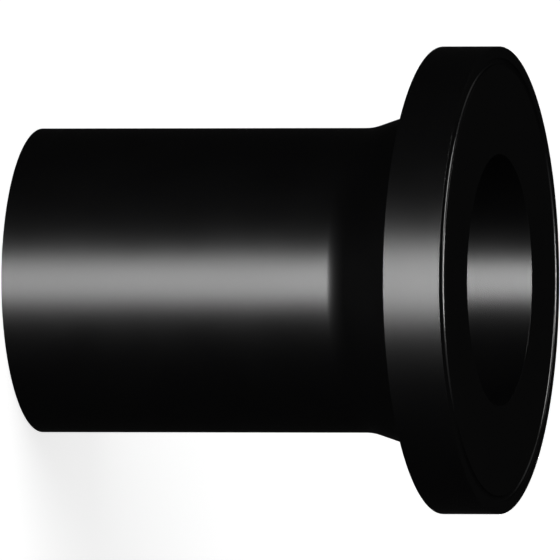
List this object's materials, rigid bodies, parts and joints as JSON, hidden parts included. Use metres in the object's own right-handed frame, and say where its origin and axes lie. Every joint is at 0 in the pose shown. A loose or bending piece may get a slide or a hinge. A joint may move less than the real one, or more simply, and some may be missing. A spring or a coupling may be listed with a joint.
{
  "type": "lap joint stub end",
  "caption": "Plastic lap joint stub end: a weldable pipe spigot that flares into a thick flat-faced collar with a ring groove, with a straight bore right through.",
  "frame": {"origin": "centre of the spigot's cut end, on the axis", "axes": "+Z along the axis from the spigot end to the collar's sealing face; X and Y are any two radial directions"},
  "size_m": [0.138, 0.138, 0.14],
  "materials": {
    "black_polyethylene": "satin"
  },
  "bodies": {
    "root": {"stub_end": "black_polyethylene"}
  },
  "joints": []
}
